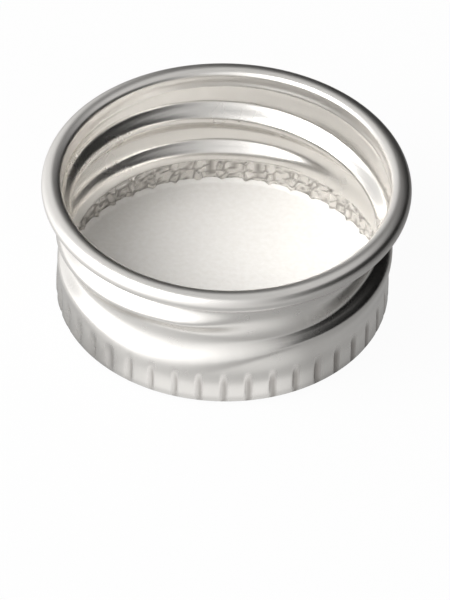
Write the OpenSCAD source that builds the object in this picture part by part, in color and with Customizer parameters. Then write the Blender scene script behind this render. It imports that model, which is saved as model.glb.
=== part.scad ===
// Rolled aluminium screw cap of the 22-400 size, standing mouth up on its closed end.
// Sheet metal drawn to a cup, knurled, thread-rolled and curled at the mouth, with a foam
// liner disc on the floor. +Z points to the mouth and the origin is the middle of the
// closed end's outer face. All lengths are in millimetres and all angles in degrees.

/* [Cap] */
// Height from the closed end to the top of the curled rim
cap_h = 10.6; // [9.5:0.1:14]
// Diameter over the curled rim
rim_d = 25; // [24.6:0.1:27]
// Thickness of the aluminium sheet
sheet_t = 0.22; // [0.18:0.01:0.26]
// Outside radius of the corner between the closed end and the wall
corner_r = 0.62; // [0.4:0.02:0.9]

/* [Wall] */
// Outside radius of the knurled band, on its lands
band_r = 11.27; // [11.1:0.01:11.4]
// Outside radius of the waist just above the knurled band
waist_r = 11.16; // [11.05:0.01:11.25]
// Outside radius of the wall beside the thread groove
crest_r = 11.42; // [11.3:0.01:11.5]
// Outside radius of the plain neck under the rim
neck_r = 11.36; // [11.3:0.01:11.4]
// Height at which the knurled band ends and the threaded wall starts
band_top_z = 3; // [2.6:0.1:3.2]
// Height at which the threaded wall ends and the plain neck starts
neck_z = 9.3; // [8.9:0.1:9.4]
// Height at which the shoulder reaches its full radius, where the groove runs high
shoulder_low_z = 4.6; // [4.2:0.1:5]
// Height at which the shoulder reaches its full radius, where the groove runs low
shoulder_high_z = 6; // [5.4:0.1:6.4]

/* [Knurl] */
// Number of knurl grooves pressed into the band
knurl_count = 42; // [30:1:48]
// Depth of a knurl groove
knurl_depth = 0.2; // [0.1:0.01:0.24]
// Width of a knurl groove at the band's surface
knurl_w = 0.65; // [0.5:0.05:0.9]
// Turn of the knurl about the cap's axis
knurl_phase = 271.2; // [266:0.1:274]
// Length over which a groove fades in above the corner
knurl_fade_low = 0.54; // [0.3:0.02:0.7]
// Length over which a groove fades out at the band's top
knurl_fade_high = 0.6; // [0.5:0.05:0.9]

/* [Thread] */
// Thread pitch, eight turns to the inch
thread_pitch = 3.175; // [3:0.025:3.3]
// Angle at which the thread starts, from +X towards +Y
thread_start = 30; // [10:5:40]
// Height of the groove's middle where the thread starts
thread_start_z = 3.33; // [3.2:0.01:3.45]
// Height by which the thread leans, being rolled a little out of square
thread_tilt = 0.14; // [0:0.02:0.2]
// Angle at which the leaning thread rises past its middle height
thread_tilt_turn = 80; // [60:5:100]
// Height by which the groove bulges upwards opposite the thread's start
groove_lift = 0.4; // [0:0.05:0.5]
// Angle through which the thread runs
thread_sweep = 635; // [560:5:640]
// Angle over which the groove deepens from nothing at its start
thread_run_in = 50; // [30:5:80]
// Angle over which the groove dies out at its end
thread_run_out = 75; // [30:5:80]
// Groove depth in the shallow lower turn
groove_shallow = 0.5; // [0.4:0.05:0.7]
// Groove depth at its fullest
groove_full = 1; // [0.8:0.05:1.1]
// Groove depth in the last turn
groove_last = 0.75; // [0.6:0.05:1]
// Height of the groove's upper flank in the shallow lower turn
flank_up_shallow = 0.85; // [0.7:0.05:1.2]
// Height of the groove's upper flank where it is widest
flank_up_wide = 1.85; // [1.5:0.05:2]
// Height of the groove's upper flank where it is pinched
flank_up_pinched = 0.9; // [0.8:0.05:1.2]
// Height of the groove's upper flank in the upper turn
flank_up_full = 1.05; // [0.9:0.05:1.4]
// Height of the groove's lower flank in the upper turn
flank_down_full = 1.5; // [1.1:0.05:1.6]
// Height at which the groove's foot runs where the shoulder is tallest
foot_high_z = 4.9; // [4.4:0.05:5]

/* [Rim] */
// Outside diameter of the rolled curl's own tube
curl_d = 1.36; // [1.2:0.02:1.5]
// Angle through which the sheet is rolled
curl_sweep = 305; // [270:5:310]

/* [Liner] */
// Thickness of the foam liner disc
liner_t = 0.9; // [0.6:0.05:1.2]
// Height of the lip that the knurl squeezes up round the liner's edge
lip_h = 0.22; // [0.1:0.02:0.4]
// Width of that lip
lip_w = 0.32; // [0.2:0.02:0.5]
// Gap between the liner's edge and the knurl's inner ridges
liner_gap = 0.03; // [0.02:0.01:0.2]

/* [Hidden] */
$fn = 96;

knurl_step = 360 / knurl_count;
knurl_half = knurl_w / 2 / band_r * 180 / PI;
thread_end = thread_start + thread_sweep;
curl_r = curl_d / 2;
curl_mid_r = rim_d / 2 - curl_r;
curl_z = cap_h - curl_r;
liner_r = band_r - sheet_t - knurl_depth - liner_gap;

// Angles along the thread between which its section changes
deepen_from = 120;
deepen_to = 260;
ease_from = 430;
ease_to = 500;
widen_to = 270;
pinch_from = 325;
pinch_to = 385;
unpinch_to = 430;
foot_from = 250;
foot_to = 300;

// Angles between which the groove bulges upwards and sinks back
lift_from = 150;
lift_full = 215;
sink_from = 262;
sink_to = 320;

// Angles between which the shoulder starts high and comes down again
rise_from = 70;
rise_to = 150;
fall_from = 240;
fall_to = 325;

// Grid of the formed wall: columns round each knurl groove, columns round the threaded
// wall and the height of a row there
knurl_columns = [-1, -0.5, 0, 0.5, 1];
thread_columns = 72;
thread_row_h = 0.35;
// How much thinner a band's end row is on each face than the face it stands on
seam = 0.015;
// Steps that the slopes of the wall are measured over, in mm and degrees
dz = 0.01;
da = 0.05;

// Rises from 0 at a to 1 at b with level ends
function smooth(x, a, b) =
    let (s = min(1, max(0, (x - a) / (b - a))))
    s * s * (3 - 2 * s);

// Round hump, 1 in its middle and 0 from half_w outwards
function hump(x, half_w) = abs(x) < half_w ? (1 + cos(180 * x / half_w)) / 2 : 0;

// Blends from one value to another as s goes from 0 to 1
function blend(from, to, s) = from + (to - from) * s;

// Knurled band: outside radius at an angle and a height
function knurl_angle(a) = (a - knurl_phase + 360 + knurl_step / 2) % knurl_step - knurl_step / 2;
function knurl_fade(z) =
    smooth(z, corner_r, corner_r + knurl_fade_low)
    * (1 - smooth(z, band_top_z - knurl_fade_high, band_top_z));
function band_radius(a, z) =
    blend(band_r, waist_r, smooth(z, band_top_z - knurl_fade_high / 2, band_top_z))
    - knurl_depth * hump(knurl_angle(a), knurl_half) * knurl_fade(z);

// Thread groove: its middle, depth and two flanks at an angle along the thread
function groove_z(t) =
    thread_start_z + thread_pitch * (t - thread_start) / 360
    + thread_tilt * sin(t - thread_tilt_turn)
    + groove_lift * smooth(t, lift_from, lift_full) * (1 - smooth(t, sink_from, sink_to));
function groove_depth(t) =
    (blend(groove_shallow, groove_full, smooth(t, deepen_from, deepen_to))
     - (groove_full - groove_last) * smooth(t, ease_from, ease_to))
    * smooth(t, thread_start, thread_start + thread_run_in)
    * (1 - smooth(t, thread_end - thread_run_out, thread_end));
function flank_up(t) =
    let (wide = blend(flank_up_shallow, flank_up_wide, smooth(t, deepen_from, widen_to)),
         pinch = blend(0, flank_up_pinched - flank_up_wide, smooth(t, pinch_from, pinch_to)),
         full = blend(0, flank_up_full - flank_up_pinched, smooth(t, pinch_to, unpinch_to)))
    min(neck_z - groove_z(t), wide + pinch + full);
function flank_down(t) =
    let (foot = blend(band_top_z, foot_high_z, smooth(t, foot_from, foot_to)))
    min(groove_z(t) - foot, t > foot_to ? flank_down_full : neck_z);
function groove_at(t, z) =
    let (u = z - groove_z(t), flank = u > 0 ? flank_up(t) : flank_down(t))
    t < thread_start || t > thread_end || flank <= 0 ? 0 : groove_depth(t) * hump(u, flank);

// Threaded wall: outside radius at an angle and a height
function shoulder_z(a) =
    let (b = a < rise_from ? a + 360 : a)
    blend(shoulder_low_z, shoulder_high_z,
          smooth(b, rise_from, rise_to) * (1 - smooth(b, fall_from, fall_to)));
function thread_radius(a, z) =
    blend(waist_r, crest_r, smooth(z, band_top_z, shoulder_z(a)))
    + (neck_r - crest_r) * smooth(z, shoulder_high_z, neck_z)
    - max([for (turn = [0 : floor(thread_end / 360)]) groove_at(a + 360 * turn, z)]);

// Point of the formed sheet, side times half a sheet out from its middle surface
function radius_at(thread, a, z) = thread ? thread_radius(a, z) : band_radius((a + 360) % 360, z);
function sheet_point(thread, a, z, side) =
    let (r = radius_at(thread, a, z) - sheet_t / 2,
         rise = (radius_at(thread, a, z + dz) - radius_at(thread, a, z - dz)) / (2 * dz),
         turn = (radius_at(thread, a + da, z) - radius_at(thread, a - da, z)) / (2 * da * PI / 180 * r),
         k = side * sheet_t / 2 / sqrt(1 + rise * rise + turn * turn))
    [(r + k) * cos(a) + k * turn * sin(a),
     (r + k) * sin(a) - k * turn * cos(a),
     z - k * rise];

// Point of a band's flat end face, so that the bands meet face to face
function end_point(thread, a, z, side, inset) =
    let (r = radius_at(thread, a, z) - sheet_t / 2 + side * (sheet_t / 2 - inset))
    [r * cos(a), r * sin(a), z];

// Closed band of formed sheet over the given angles and heights
module formed_band(thread, angles, heights, low_inset, high_inset) {
    n = len(angles);
    m = len(heights);
    points = [for (side = [1, -1], j = [0 : m - 1], a = angles)
        j == 0 ? end_point(thread, a, heights[j], side, low_inset)
        : j == m - 1 ? end_point(thread, a, heights[j], side, high_inset)
        : sheet_point(thread, a, heights[j], side)];
    skins = [for (skin = [0, 1], j = [0 : m - 2], i = [0 : n - 1])
        let (base = skin * n * m + j * n,
             p = base + i,
             q = base + (i + 1) % n)
        each skin == 0 ? [[p, p + n, q], [q, p + n, q + n]] : [[p, q, p + n], [q, q + n, p + n]]];
    rims = [for (top = [0, 1], i = [0 : n - 1])
        let (base = top * n * (m - 1),
             p = base + i,
             q = base + (i + 1) % n,
             inner = n * m)
        each top == 0 ? [[p, q, p + inner], [q, q + inner, p + inner]]
                      : [[p, p + inner, q], [q, p + inner, q + inner]]];
    polyhedron(points = points, faces = concat(skins, rims), convexity = 8);
}

module knurled_band() {
    low = corner_r + knurl_fade_low;
    high = band_top_z - knurl_fade_high;
    angles = [for (k = [0 : knurl_count - 1], c = knurl_columns)
        knurl_phase - 360 + k * knurl_step + c * knurl_half];
    heights = [corner_r, (corner_r + low) / 2, low, high,
               blend(high, band_top_z, 0.5), blend(high, band_top_z, 0.75), band_top_z];
    formed_band(false, angles, heights, seam, 0);
}

module threaded_wall() {
    rows = ceil((neck_z - band_top_z) / thread_row_h);
    angles = [for (i = [0 : thread_columns - 1]) i * 360 / thread_columns];
    heights = [for (j = [0 : rows]) blend(band_top_z, neck_z, j / rows)];
    formed_band(true, angles, heights, seam, seam);
}

// Half-section of the closed end, filled, with a rounded corner of radius r
module end_section(wall_r, r) {
    square([wall_r - r, corner_r]);
    translate([wall_r - r, corner_r])
        intersection() {
            circle(r);
            translate([0, -r]) square(r);
        }
}

module closed_end() {
    rotate_extrude()
        difference() {
            end_section(band_r, corner_r);
            translate([0, sheet_t]) square([band_r - corner_r, corner_r]);
            translate([band_r - corner_r, corner_r]) circle(corner_r - sheet_t);
        }
}

// Plain neck and the curl rolled outwards from it, with its edge tucked under
module curled_rim() {
    gap = 360 - curl_sweep;
    rotate_extrude() {
        translate([neck_r - sheet_t, neck_z]) square([sheet_t, curl_z - neck_z]);
        translate([curl_mid_r, curl_z])
            difference() {
                circle(curl_r);
                circle(curl_r - sheet_t);
                polygon([[0, 0], [-curl_d, 0], [-curl_d, -curl_d * tan(gap)]]);
            }
    }
}

module cap_shell() {
    color([0.8, 0.79, 0.77]) {
        closed_end();
        knurled_band();
        threaded_wall();
        curled_rim();
    }
}

// Disc with its edge squeezed up into a low lip
module liner() {
    lip_top = liner_t + lip_h;
    color([0.96, 0.96, 0.94])
        translate([0, 0, sheet_t])
            rotate_extrude()
                polygon([[0, 0], [liner_r, 0], [liner_r, lip_top], [liner_r - lip_w / 3, lip_top],
                         [liner_r - lip_w, liner_t], [0, liner_t]]);
}

cap_shell();
liner();
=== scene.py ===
import math

import bpy
import numpy as np
from mathutils import Matrix, Vector


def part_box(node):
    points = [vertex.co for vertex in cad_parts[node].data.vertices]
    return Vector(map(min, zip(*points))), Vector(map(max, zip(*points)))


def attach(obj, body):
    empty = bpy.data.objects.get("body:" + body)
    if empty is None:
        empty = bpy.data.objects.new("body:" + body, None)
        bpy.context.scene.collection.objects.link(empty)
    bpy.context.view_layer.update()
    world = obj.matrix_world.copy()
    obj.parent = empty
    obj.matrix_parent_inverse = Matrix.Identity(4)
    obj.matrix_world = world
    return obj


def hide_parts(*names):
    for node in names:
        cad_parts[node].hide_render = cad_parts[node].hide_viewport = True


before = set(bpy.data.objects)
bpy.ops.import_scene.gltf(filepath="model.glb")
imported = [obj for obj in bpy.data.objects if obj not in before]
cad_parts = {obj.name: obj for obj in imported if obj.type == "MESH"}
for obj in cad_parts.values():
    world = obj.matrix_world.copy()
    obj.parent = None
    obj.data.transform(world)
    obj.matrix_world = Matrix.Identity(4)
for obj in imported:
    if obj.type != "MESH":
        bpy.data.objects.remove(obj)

MM = 0.001
DEGREE = math.pi / 180

# ---- Sizes, in millimetres and degrees; the frame gives the outer ones -------------------------
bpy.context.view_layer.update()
SHELL_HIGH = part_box("cap_shell")[1]
LINER_LOW, LINER_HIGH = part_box("liner")

CAP_H = SHELL_HIGH.z / MM
RIM_R = SHELL_HIGH.x / MM
SHEET_T = LINER_LOW.z / MM
LINER_R = LINER_HIGH.x / MM
LINER_T = 0.9
LINER_TOP = SHEET_T + LINER_T

CORNER_R = 1.0
BAND_R = 11.27
WAIST_R = 11.22
CREST_R = 11.42
NECK_R = 11.36
BAND_TOP = 3.0
NECK_Z = 9.3
LEDGE_Z = 9.54
LEDGE_W = 0.04
LEDGE_SLOPE = 0.05

# The curl turns from pointing inwards at the neck to its tip. Each bend has the angle at which
# it starts and its radius.
CURL_SWEEP = 305
CURL_TIP = 180 - CURL_SWEEP
CURL_STEP = 5
CURL_BENDS = ((180, 0.45), (110, 1.2), (65, 0.62), (30, 0.9))

# The body leans sideways under the curl, less and less between these heights.
SKEW = -0.1
LEAN_HEIGHTS = (2.5, 8.5)

KNURL_COUNT = 42
KNURL_PHASE = 271.2
KNURL_STEP = 360 / KNURL_COUNT

# ---- How closely the meshes are spaced, in millimetres ------------------------------------------
END_RINGS = (0, 3.5, 7, 9, 10)
INNER_END_RINGS = (7, 0)
BAND_RINGS = 0.16
WALL_RINGS = 0.18
NECK_RINGS = 0.3
INNER_WALL_RINGS = 0.175
INNER_BAND_RINGS = 0.12
CORNER_STEPS, INNER_CORNER_STEPS, TIP_STEPS = 8, 4, 4
CURL_START_GAP = 0.1
HIDDEN_CURL_EVERY = 6
FINE_CURL_ABOVE = -40
KNURL_COLUMNS = (-0.5, -0.38, -0.3, -0.22, -0.12, 0, 0.12, 0.22, 0.3, 0.38, 0.5, 0.845)

DISC_RINGS = (0, 3, 6, 9)
DISC_COLUMNS = 12 * KNURL_COUNT
DISC_EDGE_RINGS = 0.12
DISC_RIM_RINGS, DISC_RIM_COUNT = 0.05, 11
DISC_TOP_COUNT = 30
UNDER_EDGE_R, UNDER_EDGE_STEPS = 0.5, 6
TOP_EDGE_R, TOP_EDGE_STEPS = 0.05, 4


# ---- Formulas made of nodes --------------------------------------------------------------------
def feed(tree, socket, term):
    """Gives a socket a plain value, or links a field or another socket to it."""
    term = term.value if isinstance(term, Field) else term
    if isinstance(term, bpy.types.NodeSocket):
        tree.links.new(term, socket)
    else:
        socket.default_value = term


class Field:
    """A number that nodes work out, written as an ordinary formula."""

    def __init__(self, tree, value):
        self.tree = tree
        self.value = value

    def math(self, operation, *others):
        node = self.tree.nodes.new("ShaderNodeMath")
        node.operation = operation
        for socket, term in zip(node.inputs, (self, *others)):
            feed(self.tree, socket, term)
        return Field(self.tree, node.outputs[0])

    def __add__(self, other):
        return self.math("ADD", other)

    def __sub__(self, other):
        return self.math("SUBTRACT", other)

    def __mul__(self, other):
        return self.math("MULTIPLY", other)

    def __truediv__(self, other):
        return self.math("DIVIDE", other)

    def __rsub__(self, other):
        return Field(self.tree, other).math("SUBTRACT", self)

    def __rtruediv__(self, other):
        return Field(self.tree, other).math("DIVIDE", self)

    def __neg__(self):
        return self.math("MULTIPLY", -1.0)

    __radd__ = __add__
    __rmul__ = __mul__

    def min(self, other):
        return self.math("MINIMUM", other)

    def max(self, other):
        return self.math("MAXIMUM", other)

    def abs(self):
        return self.math("ABSOLUTE")

    def above(self, other):
        return self.math("GREATER_THAN", other)

    def smooth(self, start, end):
        """Rises from 0 at start to 1 at end with level ends."""
        node = self.tree.nodes.new("ShaderNodeMapRange")
        node.interpolation_type = "SMOOTHSTEP"
        for name, term in (("Value", self), ("From Min", start), ("From Max", end)):
            feed(self.tree, node.inputs[name], term)
        return Field(self.tree, node.outputs["Result"])

    def hump(self, half_width):
        """Round hump, 1 where this is 0 and 0 from half_width outwards."""
        share = (self.abs() / half_width).min(1.0)
        return (share * math.pi).math("COSINE") * 0.5 + 0.5


def blend(start, end, share):
    return start + (end - start) * share


def pick(choice, if_true, if_false):
    """if_true where choice is 1 and if_false where it is 0."""
    return if_false + (if_true - if_false) * choice


def soft_max(a, b, rounding):
    """The larger of two, with the crease between them rounded."""
    apart = ((a - b) * (a - b) + rounding * rounding).math("SQRT")
    return (a + b + apart - rounding) * 0.5


def towards(azimuth, elevation):
    flat = math.cos(math.radians(elevation))
    turn = math.radians(azimuth)
    return Vector((flat * math.cos(turn), flat * math.sin(turn), math.sin(math.radians(elevation))))


def noise_field(tree, vector, scale, detail=2):
    """Noise round 0 at so many lumps a metre, from about -1 to 1."""
    noise = tree.nodes.new("ShaderNodeTexNoise")
    noise.inputs["Scale"].default_value = scale
    noise.inputs["Detail"].default_value = detail
    tree.links.new(vector, noise.inputs["Vector"])
    return (Field(tree, noise.outputs["Fac"]) - 0.5) * 3


def cell_edges(tree, vector, size):
    """How far it is to the nearest border between cells of a size in millimetres."""
    cells = tree.nodes.new("ShaderNodeTexVoronoi")
    cells.feature = "DISTANCE_TO_EDGE"
    tree.links.new((1 / MM / size).value, cells.inputs["Scale"])
    tree.links.new(vector, cells.inputs["Vector"])
    return Field(tree, cells.outputs["Distance"])


# ---- Turned meshes, and geometry nodes that form them -------------------------------------------
def arc(x, z, radius, start, end, steps):
    """Points of a round stretch of a section, without its first one."""
    angles = [math.radians(start + (end - start) * i / steps) for i in range(1, steps + 1)]
    return [(x + radius * math.cos(a), z + radius * math.sin(a)) for a in angles]


def climb(radius, low, high, step):
    """Points up or down a straight wall, without its first one."""
    steps = max(1, round(abs(high - low) / step))
    return [(radius, low + (high - low) * i / steps) for i in range(1, steps + 1)]


def turned_mesh(name, section, angles):
    """Mesh of a section turned about +Z, with a pole where it starts and ends on the axis."""
    rings = len(section) - 2
    turns = np.radians(angles)
    radius = np.array([p[0] for p in section[1:-1]]) * MM
    height = np.array([p[1] for p in section[1:-1]]) * MM
    ring_points = np.stack([
        np.outer(radius, np.cos(turns)),
        np.outer(radius, np.sin(turns)),
        np.repeat(height[:, None], len(turns), 1)], -1).reshape(-1, 3)
    poles = [(0, 0, section[0][1] * MM), (0, 0, section[-1][1] * MM)]
    points = np.vstack([ring_points, poles])
    index = np.arange(rings * len(turns)).reshape(rings, -1)
    after = np.roll(index, -1, 1)
    quads = np.stack([index[:-1], after[:-1], after[1:], index[1:]], -1).reshape(-1, 4)
    first, last = len(ring_points), len(ring_points) + 1
    start_fan = [(first, b, a) for a, b in zip(index[0], after[0])]
    end_fan = [(last, a, b) for a, b in zip(index[-1], after[-1])]
    mesh = bpy.data.meshes.new(name)
    mesh.from_pydata(points.tolist(), [], quads.tolist() + start_fan + end_fan)
    mesh.shade_smooth()
    return mesh


def node_tree(name, inputs):
    """Geometry node tree with named inputs; gives the tree, its fields by name and its ends."""
    tree = bpy.data.node_groups.new(name, "GeometryNodeTree")
    tree.interface.new_socket("Geometry", in_out="INPUT", socket_type="NodeSocketGeometry")
    tree.interface.new_socket("Geometry", in_out="OUTPUT", socket_type="NodeSocketGeometry")
    for label, value in inputs.items():
        socket = tree.interface.new_socket(label, in_out="INPUT", socket_type="NodeSocketFloat")
        socket.default_value = value
    start = tree.nodes.new("NodeGroupInput")
    end = tree.nodes.new("NodeGroupOutput")
    fields = {label: Field(tree, start.outputs[label]) for label in inputs}
    return tree, fields, start, end


def polar_place(tree):
    """A point's place, and its angle from +X, its radius and its height in millimetres."""
    position = tree.nodes.new("GeometryNodeInputPosition").outputs[0]
    split = tree.nodes.new("ShaderNodeSeparateXYZ")
    tree.links.new(position, split.inputs[0])
    x, y, z = (Field(tree, split.outputs[i]) for i in range(3))
    angle = y.math("ARCTAN2", x) / DEGREE
    radius = (x * x + y * y).math("SQRT") / MM
    return position, angle, radius, z / MM


def moved(tree, geometry, angle, radius, height, skew):
    """The geometry with its points at a new radius and height, leaning a little under the curl."""
    turn = angle * DEGREE
    lean = skew * (1 - height.smooth(*LEAN_HEIGHTS))
    place = tree.nodes.new("ShaderNodeCombineXYZ")
    terms = (turn.math("COSINE") * radius + lean, turn.math("SINE") * radius, height)
    for socket, term in zip(place.inputs, terms):
        feed(tree, socket, term * MM)
    move = tree.nodes.new("GeometryNodeSetPosition")
    tree.links.new(geometry, move.inputs["Geometry"])
    tree.links.new(place.outputs[0], move.inputs["Position"])
    return move.outputs[0]


def kept(tree, geometry, name, field):
    """Keeps a field on the mesh under a name that the material can read."""
    store = tree.nodes.new("GeometryNodeStoreNamedAttribute")
    store.data_type = "FLOAT"
    store.domain = "POINT"
    store.inputs["Name"].default_value = name
    tree.links.new(geometry, store.inputs["Geometry"])
    tree.links.new(field.value, store.inputs["Value"])
    return store.outputs["Geometry"]


def finish_tree(tree, geometry, end, material):
    """Ends a tree in realized geometry that carries its material."""
    realize = tree.nodes.new("GeometryNodeRealizeInstances")
    paint = tree.nodes.new("GeometryNodeSetMaterial")
    paint.inputs["Material"].default_value = material
    tree.links.new(geometry, realize.inputs[0])
    tree.links.new(realize.outputs[0], paint.inputs["Geometry"])
    tree.links.new(paint.outputs[0], end.inputs[0])


def made_plain(name, mesh, tree):
    """A plain mesh object holding what the tree makes of the mesh."""
    raw = bpy.data.objects.new(name + "_raw", mesh)
    bpy.context.scene.collection.objects.link(raw)
    modifier = raw.modifiers.new("nodes", "NODES")
    modifier.node_group = tree
    graph = bpy.context.evaluated_depsgraph_get()
    plain = bpy.data.meshes.new_from_object(raw.evaluated_get(graph), depsgraph=graph)
    bpy.data.objects.remove(raw)
    plain.name = name
    piece = bpy.data.objects.new(name, plain)
    bpy.context.scene.collection.objects.link(piece)
    return piece


# ---- Shell: a plain turned section, then knurl and thread pressed in ----------------------------
PLAIN, OUTSIDE, INSIDE = 0, 1, 2

SHELL_SIZES = {
    "Sheet thickness": SHEET_T,
    "Corner radius": CORNER_R,
    "Band radius": BAND_R,
    "Waist radius": WAIST_R,
    "Crest radius": CREST_R,
    "Neck radius": NECK_R,
    "Band top": BAND_TOP,
    "Neck height": NECK_Z,
    "Shoulder low": 4.6,
    "Shoulder high": 6.0,
    "Inner waist": 0.04,
    "Inner hold": 3.45,
    "Inner hold fade": 0.5,
    "Inner shoulder": 4.6,
    "Knurl step": KNURL_STEP,
    "Knurl phase": KNURL_PHASE,
    "Knurl depth": 0.18,
    "Knurl half width": 0.3,
    "Knurl wobble": 0.05,
    "Left widening": 0.28,
    "Knurl fade": 1.1,
    "Inner fade": 0.3,
    "Pitch": 3.175,
    "Groove lift": 0.36,
    "Thread tilt": 0.14,
    "Thread tilt turn": 80,
    "Thread start": 40,
    "Thread end": 665,
    "Base start": 3.64,
    "Base low": 3.17,
    "Base middle": 3.42,
    "Base front": 3.17,
    "Run in": 50,
    "Run out": 75,
    "Depth shallow": 0.66,
    "Depth full": 1.02,
    "Depth last": 0.85,
    "Depth dip": 0.25,
    "Flank up shallow": 0.78,
    "Flank up left": 1.8,
    "Flank up wide": 4.0,
    "Flank up pinched": 0.7,
    "Flank up full": 0.95,
    "Foot left": 3.5,
    "Foot low": 2.3,
    "Foot high": 4.85,
    "Flank down full": 1.7,
    "Inside widening": 0.08,
    "Crumple": 0.16,
    "Crumple size": 0.75,
    "Crumple fade": 0.25,
    "Turn rounding": 0.12,
    "Front rounding": 0.45,
    "Skew": SKEW,
}

# How a size changes along the thread: from its first value to the next one over each stretch.
# Stretches are angles from +X, and run on past 360 into the second turn.
BASE_STAGES = ("Base start", ((40, 135), "Base low"), ((170, 250), "Base middle"), ((500, 590), "Base front"))
DEPTH_STAGES = ("Depth shallow", ((120, 260), "Depth full"), ((430, 500), "Depth last"))
FLANK_UP_STAGES = ("Flank up shallow", ((155, 215), "Flank up left"), ((252, 292), "Flank up wide"),
                   ((310, 385), "Flank up pinched"), ((385, 430), "Flank up full"))
FOOT_STAGES = ("Foot left", ((205, 245), "Foot low"), ((250, 300), "Foot high"))

# Other stretches round the cap, as angles from +X
LIFT_RISES, LIFT_FALLS = (205, 255), (245, 300)
HOLD_FALLS = (165, 200)
SHOULDER_RISES, SHOULDER_FALLS = (70, 150), (240, 325)
LEFT_ENDS = (218, 250)
# Angles between which the painted shade in the outer knurl's grooves rises round the cap
GROOVE_SHADE_RISES = (190, 310)
DIP_MIDDLE, DIP_REACH = 297, 38
ROUNDED_MIDDLE, ROUNDED_REACH = 292, 60
SECOND_FLANK_FROM = 300

LEAST_FLANK, WIDEST_FLANK = 0.05, 9.0
WOBBLE_LUMPS, CRUMPLE_LUMPS = 700, 1800
CRUMPLE_NOISE, CRUMPLE_CREASE = 0.35, 0.6
CREASE_WIDTH = 0.14
STRETCH_SHARES = (0.03, 0.35)
# How the painted shade spreads across a knurl groove, and the heights over which it rises off the closed end
GROOVE_SHADE_SPREAD = 0.7
GROOVE_SHADE_HEIGHTS = (0.0, 0.25)


def curl_path():
    """Curl's outer side from the neck over the top to the tip, as (radius, height, angle).

    Each bend runs from its angle to the next one's: tight at the neck, then nearly flat on top,
    then round. The path is moved to end against the cap's outer width and height.
    """
    x, z, path = 0.0, 0.0, [(0.0, 0.0, 180)]
    for angle in range(180, CURL_TIP, -CURL_STEP):
        bend = [radius for start, radius in CURL_BENDS if angle <= start][-1]
        middle = math.radians(angle - CURL_STEP / 2)
        x += bend * math.radians(CURL_STEP) * math.sin(middle)
        z -= bend * math.radians(CURL_STEP) * math.cos(middle)
        path.append((x, z, angle - CURL_STEP))
    width = max(p[0] for p in path)
    height = max(p[1] for p in path)
    stretch = (RIM_R - NECK_R + SHEET_T) / width
    return [(RIM_R - (width - x) * stretch, CAP_H - (height - z) * stretch, angle)
            for x, z, angle in path]


def curl_rings():
    """The curl's hidden side from the neck to the tip, round the tip and back on its outer side."""
    outer = curl_path()
    hidden = [(x - SHEET_T * math.cos(math.radians(a)), z - SHEET_T * math.sin(math.radians(a)))
              for x, z, a in outer]
    tip_x, tip_z = ((a + b) / 2 for a, b in zip(hidden[-1], outer[-1]))
    rings = climb(NECK_R, NECK_Z, hidden[0][1] - CURL_START_GAP, NECK_RINGS)
    rings += hidden[::HIDDEN_CURL_EVERY]
    rings += arc(tip_x, tip_z, SHEET_T / 2, CURL_TIP + 180, CURL_TIP, TIP_STEPS)
    rings += [(x, z) for x, z, angle in outer[-2::-1]
              if angle > FINE_CURL_ABOVE or angle % (2 * CURL_STEP) == 0]
    return rings


def shell_section():
    """Closed section of the sheet from the axis out, up, round the curl and back inside.

    Each point is (radius, height, side). The knurl and the thread are pressed into the wall's
    outside and inside, and what is plain stays as it is turned.
    """
    corner = BAND_R - CORNER_R
    inner_neck = NECK_R - SHEET_T
    ledge = inner_neck - LEDGE_W
    stretches = (
        (PLAIN, [(r, 0.0) for r in (*END_RINGS, corner)]),
        (OUTSIDE, arc(corner, CORNER_R, CORNER_R, -90, 0, CORNER_STEPS)),
        (OUTSIDE, climb(BAND_R, CORNER_R, BAND_TOP, BAND_RINGS)),
        (OUTSIDE, climb(NECK_R, BAND_TOP, NECK_Z, WALL_RINGS)),
        (PLAIN, curl_rings()),
        (PLAIN, [(inner_neck, LEDGE_Z + LEDGE_SLOPE), (ledge, LEDGE_Z), (ledge, NECK_Z)]),
        (INSIDE, climb(inner_neck, NECK_Z, BAND_TOP, INNER_WALL_RINGS)),
        (INSIDE, climb(BAND_R - SHEET_T, BAND_TOP, CORNER_R, INNER_BAND_RINGS)),
        (INSIDE, arc(corner, CORNER_R, CORNER_R - SHEET_T, 0, -90, INNER_CORNER_STEPS)),
        (PLAIN, [(r, SHEET_T) for r in INNER_END_RINGS]),
    )
    return [(*point, side) for side, points in stretches for point in points]


def knurl_offset(size, angle):
    """Angle from the middle of the nearest knurl groove."""
    step = size["Knurl step"]
    turn = angle - size["Knurl phase"] + step * 0.5
    return turn.math("FLOORED_MODULO", step) - step * 0.5


def knurl_press(size, angle, height, inside, wobble):
    """How far the knurl is pressed in, in millimetres."""
    across = (knurl_offset(size, angle) * DEGREE * size["Band radius"] + wobble).abs()
    fade = blend(size["Knurl fade"], size["Inner fade"], inside)
    fade_out = 1 - height.smooth(size["Band top"] - fade, size["Band top"])
    left = (1 - angle.smooth(*LEFT_ENDS)) * (1 - inside)
    widening = inside * size["Inside widening"] + left * size["Left widening"]
    return size["Knurl depth"] * across.hump(size["Knurl half width"] + widening) * fade_out


def staged(size, along, stages):
    """A size that changes along the thread as its stages say."""
    last = size[stages[0]]
    total = last
    for stretch, name in stages[1:]:
        total = total + (size[name] - last) * along.smooth(*stretch)
        last = size[name]
    return total


def thread_middle(size, along):
    """Height of the groove's middle, in millimetres."""
    climbed = size["Pitch"] * (along - size["Thread start"]) / 360
    lean = ((along - size["Thread tilt turn"]) * DEGREE).math("SINE") * size["Thread tilt"]
    lift = size["Groove lift"] * along.smooth(*LIFT_RISES) * (1 - along.smooth(*LIFT_FALLS))
    return staged(size, along, BASE_STAGES) + climbed + lean + lift


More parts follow.
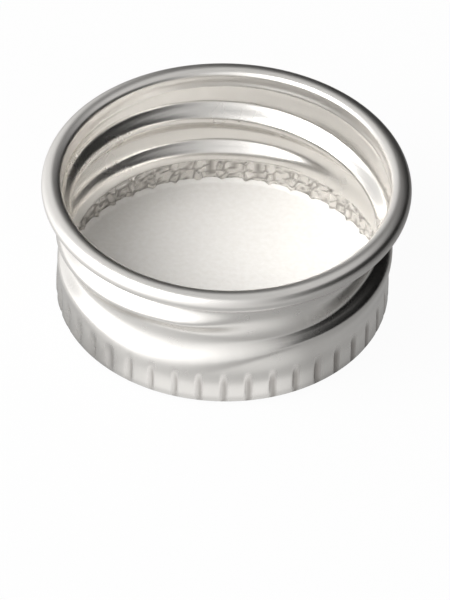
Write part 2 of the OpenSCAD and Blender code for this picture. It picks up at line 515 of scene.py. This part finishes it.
def thread_depth(size, along):
    """Depth of the groove, which runs in, dips at the front right and runs out."""
    run_in = along.smooth(size["Thread start"], size["Thread start"] + size["Run in"])
    run_out = 1 - along.smooth(size["Thread end"] - size["Run out"], size["Thread end"])
    dip = 1 - size["Depth dip"] * (along - DIP_MIDDLE).hump(DIP_REACH)
    return staged(size, along, DEPTH_STAGES) * dip * run_in * run_out


def thread_press(size, along, height, inside):
    """How far one turn of the thread is pressed in, in millimetres.

    Inside, the start of the first turn stays pressed in from its middle down to the inner hold.
    """
    middle = thread_middle(size, along)
    offset = height - middle
    up = staged(size, along, FLANK_UP_STAGES).min(size["Neck height"] - middle)
    limit = pick(along.above(SECOND_FLANK_FROM), size["Flank down full"], WIDEST_FLANK)
    down = (middle - staged(size, along, FOOT_STAGES)).min(limit)
    flank = pick(offset.above(0), up, down).max(LEAST_FLANK)
    press = offset.hump(flank + inside * size["Inside widening"])
    below_hold = (-offset - (middle - size["Inner hold"]).max(0)).max(0).hump(size["Inner hold fade"])
    held = below_hold * (1 - offset.above(0)) * (1 - along.smooth(*HOLD_FALLS)) * inside
    return thread_depth(size, along) * press.max(held)


def wall_radius(size, angle, height, inside):
    """Outside radius of the wall before knurl and thread, in millimetres."""
    turn = angle + angle.math("LESS_THAN", SHOULDER_RISES[0]) * 360
    rise = turn.smooth(*SHOULDER_RISES) * (1 - turn.smooth(*SHOULDER_FALLS))
    shoulder = blend(size["Shoulder low"], size["Shoulder high"], rise)
    shoulder = blend(shoulder, size["Inner shoulder"], inside)
    fade = blend(size["Knurl fade"], size["Inner fade"], inside)
    waist = size["Waist radius"] - inside * size["Inner waist"]
    band = blend(size["Band radius"], waist, height.smooth(size["Band top"] - fade, size["Band top"]))
    crest = (size["Crest radius"] - waist) * height.smooth(size["Band top"], shoulder)
    neck = size["Neck radius"] - size["Crest radius"]
    return band + crest + neck * height.smooth(size["Shoulder high"], size["Neck height"])


def forming_tree(material):
    """Presses knurl and thread into the turned shell's wall, and marks grain and painted shade in the knurl's
    grooves and creases.
    """
    tree, size, start, end = node_tree("Form shell wall", SHELL_SIZES)
    position, angle, own_radius, height = polar_place(tree)
    angle = angle + angle.math("LESS_THAN", 0) * 360
    side = tree.nodes.new("GeometryNodeInputNamedAttribute")
    side.inputs["Name"].default_value = "formed"
    side = Field(tree, side.outputs["Attribute"])
    formed, inside = side.above(PLAIN + 0.5), side.above(OUTSIDE + 0.5)

    wobble = noise_field(tree, position, WOBBLE_LUMPS) * size["Knurl wobble"]
    knurl = knurl_press(size, angle, height, inside, wobble)
    rounding = size["Turn rounding"] + size["Front rounding"] * (angle - ROUNDED_MIDDLE).hump(ROUNDED_REACH)
    thread = soft_max(*(thread_press(size, angle + turn, height, inside) for turn in (0, 360)), rounding)

    crease = 1 - cell_edges(tree, position, size["Crumple size"]).smooth(0.0, CREASE_WIDTH)
    crumple = noise_field(tree, position, CRUMPLE_LUMPS) * CRUMPLE_NOISE + crease * CRUMPLE_CREASE
    in_band = (1 - height.smooth(size["Band top"] - size["Crumple fade"], size["Band top"])) * inside

    sheet = inside * size["Sheet thickness"]
    pressed = thread + knurl + crumple.max(0) * size["Crumple"] * in_band + sheet
    wall = wall_radius(size, angle, height, inside) - pressed
    corner = own_radius.min(size["Band radius"] - knurl - sheet)
    radius = pick(formed, pick(height.above(size["Corner radius"]), wall, corner), own_radius)
    geometry = moved(tree, start.outputs["Geometry"], angle, radius, height, size["Skew"])

    stretched = inside * (thread / size["Depth full"]).smooth(*STRETCH_SHARES)
    # Painted shade: the outer knurl's grooves are darkened, most towards the front right and not on the
    # closed end, and so are the creases of the crumpled inner band.
    groove_shade = (knurl / size["Knurl depth"]).math("POWER", GROOVE_SHADE_SPREAD) * (1 - inside)
    groove_shade = groove_shade * angle.smooth(*GROOVE_SHADE_RISES) * height.smooth(*GROOVE_SHADE_HEIGHTS)
    geometry = kept(tree, geometry, "stretched", stretched)
    geometry = kept(tree, geometry, "painted_shade", groove_shade.max(crease * in_band))
    finish_tree(tree, geometry, end, material)
    return tree


def shell_piece(material):
    columns = [math.degrees(across / BAND_R) for across in KNURL_COLUMNS]
    angles = [KNURL_PHASE - 360 + k * KNURL_STEP + c for k in range(KNURL_COUNT) for c in columns]
    section = shell_section()
    mesh = turned_mesh("shell", section, angles)
    formed = mesh.attributes.new("formed", "FLOAT", "POINT")
    sides = np.repeat([float(p[2]) for p in section[1:-1]], len(angles))
    formed.data.foreach_set("value", np.append(sides, (PLAIN, PLAIN)))
    piece = made_plain("shell", mesh, forming_tree(material))
    piece.data.attributes.remove(piece.data.attributes["formed"])
    return piece


# ---- Liner: a turned disc with a softly crushed edge --------------------------------------------
LINER_SIZES = {
    "Radius": LINER_R,
    "Thickness": LINER_T,
    "Knurl step": KNURL_STEP,
    "Knurl phase": KNURL_PHASE,
    "Ridge share": 0.22,
    "Edge width": 0.6,
    "Edge rise": 0.4,
    "Edge crush": 0.18,
    "Edge spread": 0.2,
    "Lip height": 0.2,
    "Lip width": 0.3,
    "Lip least": 0.7,
    "Lip crinkle": 0.4,
    "Lip between ridges": 0.3,
    "Surface unevenness": 0.008,
    "Skew": SKEW,
}
CRINKLE_LUMPS, DISC_LUMPS = 1500, 900


def liner_section():
    """Section of the disc from the axis out along its underside, up its edge and back."""
    under, edge = LINER_R - UNDER_EDGE_R, LINER_R - TOP_EDGE_R
    points = [(r, SHEET_T) for r in (*DISC_RINGS, under)]
    points += arc(under, SHEET_T + UNDER_EDGE_R, UNDER_EDGE_R, -90, 0, UNDER_EDGE_STEPS)
    points += climb(LINER_R, SHEET_T + UNDER_EDGE_R, LINER_TOP - TOP_EDGE_R, DISC_EDGE_RINGS)
    points += arc(edge, LINER_TOP - TOP_EDGE_R, TOP_EDGE_R, 0, 90, TOP_EDGE_STEPS)
    points += [(edge - DISC_RIM_RINGS * i, LINER_TOP) for i in range(1, DISC_RIM_COUNT + 1)]
    last = points[-1][0]
    points += [(last * (1 - i / DISC_TOP_COUNT), LINER_TOP) for i in range(1, DISC_TOP_COUNT + 1)]
    return points


def pressing_tree(material):
    """Leaves the knurl's marks on the disc's edge and makes its top a little uneven."""
    tree, size, start, end = node_tree("Press liner", LINER_SIZES)
    position, angle, radius, height = polar_place(tree)
    ridge = knurl_offset(size, angle).hump(size["Knurl step"] * size["Ridge share"])
    near_edge = radius.smooth(size["Radius"] - size["Edge width"], size["Radius"])
    near_top = height.smooth(SHEET_T + size["Thickness"] * size["Edge rise"], SHEET_T + size["Thickness"])

    crinkle = noise_field(tree, position, CRINKLE_LUMPS) * size["Lip crinkle"]
    between = (1 - ridge) * size["Lip between ridges"]
    lip = radius.smooth(size["Radius"] - size["Lip width"], size["Radius"]) * near_top
    lip = lip * size["Lip height"] * (size["Lip least"] + crinkle + between)
    radius = radius + near_edge * (near_top * size["Edge spread"] - ridge * size["Edge crush"])

    bumps = noise_field(tree, position, DISC_LUMPS, detail=3) * size["Surface unevenness"]
    sunk = bumps.abs() * near_top * (1 - radius.smooth(size["Radius"] - size["Lip width"], size["Radius"]))
    height = height - sunk + lip
    geometry = moved(tree, start.outputs["Geometry"], angle, radius, height, size["Skew"])
    finish_tree(tree, geometry, end, material)
    return tree


def liner_piece(material):
    angles = np.arange(DISC_COLUMNS) * 360 / DISC_COLUMNS
    mesh = turned_mesh("foam_disc", liner_section(), angles)
    return made_plain("foam_disc", mesh, pressing_tree(material))


# ---- Materials ----------------------------------------------------------------------------------
ALUMINIUM, CLOUDED_ALUMINIUM = (0.80, 0.78, 0.75, 1), (0.77, 0.75, 0.72, 1)
# Colour of the painted shade in the knurl's grooves and creases, and how fully it covers
PAINTED_SHADE_COLOUR, PAINTED_SHADE_COVER = (0.36, 0.34, 0.32, 1), 0.95
SATIN, CLOUD_ROUGHNESS, SHADE_ROUGHNESS, CURL_ROUGHNESS = 0.25, 0.03, 0.12, 0.06
SHEET_GRAIN, SHEET_CLOUD, SHEET_GRAIN_DEPTH = 0.11, 2.2, 0.006
FOAM, FOAM_FLECK = (0.88, 0.865, 0.84, 1), (0.83, 0.81, 0.775, 1)
FOAM_ROUGHNESS, FOAM_GRAIN, FOAM_GRAIN_DEPTH = 0.85, 0.35, 0.02


def grain_group():
    """Fine grain: one noise at a named size, given as a height and as a mask."""
    group = bpy.data.node_groups.new("Fine grain", "ShaderNodeTree")
    for label, value in (("Grain size", SHEET_GRAIN), ("Detail", 2.0)):
        socket = group.interface.new_socket(label, in_out="INPUT", socket_type="NodeSocketFloat")
        socket.default_value = value
    group.interface.new_socket("Vector", in_out="INPUT", socket_type="NodeSocketVector")
    group.interface.new_socket("Height", in_out="OUTPUT", socket_type="NodeSocketFloat")
    group.interface.new_socket("Mask", in_out="OUTPUT", socket_type="NodeSocketFloat")
    start = group.nodes.new("NodeGroupInput")
    end = group.nodes.new("NodeGroupOutput")
    noise = group.nodes.new("ShaderNodeTexNoise")
    group.links.new(start.outputs["Vector"], noise.inputs["Vector"])
    group.links.new(start.outputs["Detail"], noise.inputs["Detail"])
    lumps = Field(group, start.outputs["Grain size"]).math("POWER", -1.0) * (1 / MM)
    group.links.new(lumps.value, noise.inputs["Scale"])
    level = Field(group, noise.outputs["Fac"])
    mask = ((level - 0.5) * 2 + 0.5).max(0).min(1)
    group.links.new(level.value, end.inputs["Height"])
    group.links.new(mask.value, end.inputs["Mask"])
    return group


GRAIN = grain_group()


def grain(tree, vector, size, detail=2.0):
    node = tree.nodes.new("ShaderNodeGroup")
    node.node_tree = GRAIN
    node.inputs["Grain size"].default_value = size
    node.inputs["Detail"].default_value = detail
    tree.links.new(vector, node.inputs["Vector"])
    return Field(tree, node.outputs["Height"]), Field(tree, node.outputs["Mask"])


def new_material(name):
    material = bpy.data.materials.new(name)
    material.use_nodes = True
    tree = material.node_tree
    return material, tree, tree.nodes["Principled BSDF"]


def object_place(tree):
    return tree.nodes.new("ShaderNodeTexCoord").outputs["Object"]


def kept_field(tree, name):
    node = tree.nodes.new("ShaderNodeAttribute")
    node.attribute_name = name
    return Field(tree, node.outputs["Fac"])


def mixed_colour(tree, share, first, second):
    """Colour between two, each a plain colour or another colour's socket."""
    mix = tree.nodes.new("ShaderNodeMix")
    mix.data_type = "RGBA"
    factor, colour_a, colour_b, result = mix.inputs[0], mix.inputs[6], mix.inputs[7], mix.outputs[2]
    for socket, term in ((factor, share), (colour_a, first), (colour_b, second)):
        feed(tree, socket, term)
    return result


def bumped(tree, shader, height, depth):
    """Gives the shader a bump of a depth in millimetres, and returns its node."""
    bump = tree.nodes.new("ShaderNodeBump")
    bump.inputs["Strength"].default_value = 1.0
    bump.inputs["Distance"].default_value = depth * MM
    tree.links.new(height.value, bump.inputs["Height"])
    tree.links.new(bump.outputs[0], shader.inputs["Normal"])
    return bump


def rolled_aluminium():
    """Satin sheet, grained where the thread stretches it, with painted shade in the knurl's grooves and the
    inner band's creases.
    """
    material, tree, shader = new_material("rolled_aluminium")
    place = object_place(tree)
    height, _ = grain(tree, place, SHEET_GRAIN)
    _, cloud = grain(tree, place, SHEET_CLOUD)
    shade_mask = kept_field(tree, "painted_shade")
    split = tree.nodes.new("ShaderNodeSeparateXYZ")
    tree.links.new(place, split.inputs[0])
    curl = (Field(tree, split.outputs["Z"]) / MM).smooth(NECK_Z, LEDGE_Z)
    rough = SATIN + cloud * CLOUD_ROUGHNESS + shade_mask * SHADE_ROUGHNESS + curl * CURL_ROUGHNESS
    clean = mixed_colour(tree, cloud, ALUMINIUM, CLOUDED_ALUMINIUM)
    # Painted shade: the metal is darkened and made a little rougher where the shade mask is.
    colour = mixed_colour(tree, shade_mask * PAINTED_SHADE_COVER, clean, PAINTED_SHADE_COLOUR)
    shader.inputs["Metallic"].default_value = 1.0
    feed(tree, shader.inputs["Roughness"], rough)
    feed(tree, shader.inputs["Base Color"], colour)
    bump = bumped(tree, shader, height, SHEET_GRAIN_DEPTH)
    feed(tree, bump.inputs["Strength"], kept_field(tree, "stretched"))
    return material


def foam_liner():
    """Matt white foam with a faint fibrous skin."""
    material, tree, shader = new_material("foam_liner")
    height, mask = grain(tree, object_place(tree), FOAM_GRAIN, detail=4.0)
    shader.inputs["Roughness"].default_value = FOAM_ROUGHNESS
    feed(tree, shader.inputs["Base Color"], mixed_colour(tree, mask, FOAM, FOAM_FLECK))
    bumped(tree, shader, height, FOAM_GRAIN_DEPTH)
    return material


# ---- Studio: floor, white surround, light tent and camera ---------------------------------------
# Painted light and shade of the floor's glow as the metal sees it, each tone as its least and what is added
# to it at most:
# close up in front, around the cap and far off. Under the cap it has one tone.
FLOOR_CLOSE, FLOOR_AROUND, FLOOR_FAR = (0.45, 0.66), (0.3, 0.5), (0.3, 1.5)
FLOOR_UNDER = 0.6
FLOOR_FRONT, FRONT_EDGE = -95, (0.68, 0.97)
FLOOR_KEY_SIDE, FLOOR_FALLOFF = -160, 2.2
FLOOR_DIM_SIDE, DIM_EDGE, FLOOR_DIM = 50, (0.1, 0.75), 0.7
# Distances from the axis, in millimetres, between which one tone gives way to the next
UNDER_RING, CLOSE_RING, FAR_RING = (9.6, 10.3), (12.8, 15.5), (20, 38)
# Painted contact shadow: near the cap's foot the floor's glow falls to this share, back to full between these
# distances
CONTACT_SHADOW_RING, CONTACT_SHADOW_TONE = (11.3, 12.9), 0.7
FLOOR_COLOUR, FLOOR_ROUGHNESS = (0.62, 0.62, 0.62, 1), 0.9
FLOOR_SIZE, FLOOR_GAP = 3, 0.01
WHITE_TO_CAMERA, TONED_TO_METAL = 0.96, 0.85
WORLD_LIGHT = 0.4

# Lights and a shade on the tent, by direction from the object: azimuth, elevation, strength, and
# the angles from the middle at which it starts and is full
KEY_LIGHT = (-153, 44, 5.2, 27, 9)
FRONT_LIGHT = (-150, 20, 1.0, 50, 22)
BACK_LIGHT = (118, 18, 0.3, 40, 20)
HIGH_LIGHT = (30, 68, 0.5, 35, 15)
BACK_SHADE = (160, 35, 0.28, 38, 12)
KEY_SIDE, TENT_FALLOFF = (-155, 12), 1.7
TENT_DARK, TENT_PALE = 0.03, 1.6
TENT_RADIUS = 0.6
# The tent's dark side and its ceiling, by how far a direction faces them and how high it is
DARK_COVER, DARK_TOP = 0.95, (0.62, 0.88)
DARK_SIDE, DARK_EDGE = (10, 0), (-0.07, 0.1)
DARK_BACK, DARK_BACK_EDGE = (40, 0), (-0.4, 0.5)
TOP_GLOW, TOP_GLOW_HEIGHTS = 0.05, (0.5, 0.95)
CEILING_DIM, CEILING_HEIGHTS = 0.5, (0.85, 0.98)

CAMERA_ELEVATION, CAMERA_ROLL = 41.2, 1.6
CAMERA_DISTANCE = 0.9
CAMERA_AIM = (0.11, 0, -0.24)
PIXELS_PER_MM, FRAME_HEIGHT = 14.72, 600
SENSOR_WIDTH, CLIP_START = 36, 0.01


def vector_node(tree, operation, vector):
    node = tree.nodes.new("ShaderNodeVectorMath")
    node.operation = operation
    tree.links.new(vector, node.inputs[0])
    return node


def facing(tree, direction, azimuth, elevation):
    """How far a direction agrees with the named one, from -1 to 1."""
    dot = vector_node(tree, "DOT_PRODUCT", direction)
    dot.inputs[1].default_value = towards(azimuth, elevation)
    return Field(tree, dot.outputs["Value"])


def floor_tone(tree):
    """How light the metal sees the floor: lightest on the key light's side, and close up in front."""
    place = object_place(tree)
    distance = Field(tree, vector_node(tree, "LENGTH", place).outputs["Value"]) / MM
    direction = vector_node(tree, "NORMALIZE", place).outputs[0]

    def tone(levels, share):
        least, added = levels
        return share * added + least

    key_side = ((1 + facing(tree, direction, FLOOR_KEY_SIDE, 0)) / 2).math("POWER", FLOOR_FALLOFF)
    dim = facing(tree, direction, FLOOR_DIM_SIDE, 0).smooth(*DIM_EDGE) * FLOOR_DIM
    close = tone(FLOOR_CLOSE, facing(tree, direction, FLOOR_FRONT, 0).smooth(*FRONT_EDGE))
    near = blend(close, tone(FLOOR_AROUND, key_side), distance.smooth(*CLOSE_RING))
    # Painted contact shadow round the cap's foot
    near = near * blend(CONTACT_SHADOW_TONE, 1, distance.smooth(*CONTACT_SHADOW_RING))
    near = blend(FLOOR_UNDER, near, distance.smooth(*UNDER_RING))
    far = tone(FLOOR_FAR, key_side) * (1 - dim)
    return blend(near, far, distance.smooth(*FAR_RING))


def pale_floor():
    """Light floor, white to the camera, glowing with painted light and shade for the metal, and clear from
    below.
    """
    material, tree, shader = new_material("pale_floor")
    new, link = tree.nodes.new, tree.links.new
    shader.inputs["Base Color"].default_value = FLOOR_COLOUR
    shader.inputs["Roughness"].default_value = FLOOR_ROUGHNESS
    rays = new("ShaderNodeLightPath")
    seen = Field(tree, rays.outputs["Is Camera Ray"]).max(Field(tree, rays.outputs["Is Transmission Ray"]))
    glossy = Field(tree, rays.outputs["Is Glossy Ray"])
    white = new("ShaderNodeEmission")
    feed(tree, white.inputs["Strength"], blend(floor_tone(tree), 1, seen))
    mix = new("ShaderNodeMixShader")
    feed(tree, mix.inputs[0], seen * WHITE_TO_CAMERA + glossy * TONED_TO_METAL)
    link(shader.outputs[0], mix.inputs[1])
    link(white.outputs[0], mix.inputs[2])
    clear = new("ShaderNodeMixShader")
    link(new("ShaderNodeNewGeometry").outputs["Backfacing"], clear.inputs[0])
    link(mix.outputs[0], clear.inputs[1])
    link(new("ShaderNodeBsdfTransparent").outputs[0], clear.inputs[2])
    link(clear.outputs[0], tree.nodes["Material Output"].inputs["Surface"])
    return material


def tent_material():
    """Soft lights and one dark side, painted on the tent by direction from the object."""
    material, tree, shader = new_material("light_tent")
    tree.nodes.remove(shader)
    direction = vector_node(tree, "NORMALIZE", object_place(tree)).outputs[0]

    def spot(azimuth, elevation, strength, start, full):
        near = facing(tree, direction, azimuth, elevation)
        return near.smooth(math.cos(math.radians(start)), math.cos(math.radians(full))) * strength

    split = tree.nodes.new("ShaderNodeSeparateXYZ")
    tree.links.new(direction, split.inputs[0])
    height = Field(tree, split.outputs["Z"])
    key_side = ((1 + facing(tree, direction, *KEY_SIDE)) / 2).math("POWER", TENT_FALLOFF)
    total = blend(TENT_DARK, TENT_PALE, key_side) + height.smooth(*TOP_GLOW_HEIGHTS) * TOP_GLOW
    for light in (KEY_LIGHT, FRONT_LIGHT, BACK_LIGHT, HIGH_LIGHT):
        total = total + spot(*light)
    dark = facing(tree, direction, *DARK_SIDE).smooth(*DARK_EDGE)
    dark = dark * facing(tree, direction, *DARK_BACK).smooth(*DARK_BACK_EDGE)
    dark = dark * (1 - height.smooth(*DARK_TOP)) * DARK_COVER
    ceiling = height.smooth(*CEILING_HEIGHTS) * CEILING_DIM
    total = total * (1 - dark) * (1 - spot(*BACK_SHADE)) * (1 - ceiling)
    emission = tree.nodes.new("ShaderNodeEmission")
    feed(tree, emission.inputs["Strength"], total)
    tree.links.new(emission.outputs[0], tree.nodes["Material Output"].inputs["Surface"])
    return material


def light_tent():
    bpy.ops.mesh.primitive_ico_sphere_add(subdivisions=4, radius=TENT_RADIUS)
    tent = bpy.context.object
    tent.name = "light_tent"
    tent.data.materials.append(tent_material())
    tent.visible_camera = False
    tent.visible_transmission = False
    tent.visible_shadow = False


def floor():
    bpy.ops.mesh.primitive_plane_add(size=FLOOR_SIZE)
    plane = bpy.context.object
    plane.name = "floor"
    plane.location.z = -FLOOR_GAP * MM
    plane.data.materials.append(pale_floor())


def white_world():
    world = bpy.data.worlds.new("white_world")
    bpy.context.scene.world = world
    world.use_nodes = True
    tree = world.node_tree
    rays = tree.nodes.new("ShaderNodeLightPath")
    seen = Field(tree, rays.outputs["Is Camera Ray"])
    for label in ("Is Glossy Ray", "Is Transmission Ray"):
        seen = seen.max(Field(tree, rays.outputs[label]))
    background = tree.nodes["Background"]
    background.inputs["Color"].default_value = (1, 1, 1, 1)
    feed(tree, background.inputs["Strength"], blend(WORLD_LIGHT, 1, seen))


def camera():
    """Long lens a little over forty degrees above the floor, turned slightly."""
    elevation = math.radians(CAMERA_ELEVATION)
    aim = Vector(CAMERA_AIM) * MM
    data = bpy.data.cameras.new("camera")
    data.sensor_width = SENSOR_WIDTH
    data.lens = PIXELS_PER_MM * CAMERA_DISTANCE / MM * SENSOR_WIDTH / FRAME_HEIGHT
    data.clip_start = CLIP_START
    eye = bpy.data.objects.new("camera", data)
    bpy.context.scene.collection.objects.link(eye)
    place = aim + Vector((0, -math.cos(elevation), math.sin(elevation))) * CAMERA_DISTANCE
    turn = (aim - place).to_track_quat("-Z", "Y").to_matrix().to_4x4()
    roll = Matrix.Rotation(math.radians(CAMERA_ROLL), 4, "Z")
    eye.matrix_world = Matrix.Translation(place) @ turn @ roll
    bpy.context.scene.camera = eye


# ---- The cap ------------------------------------------------------------------------------------
def main():
    bpy.context.scene.view_settings.view_transform = "Standard"

    shell = shell_piece(rolled_aluminium())
    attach(shell, "root")
    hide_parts("cap_shell")

    liner = liner_piece(foam_liner())
    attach(liner, "root")
    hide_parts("liner")

    floor()
    light_tent()
    white_world()
    camera()


main()
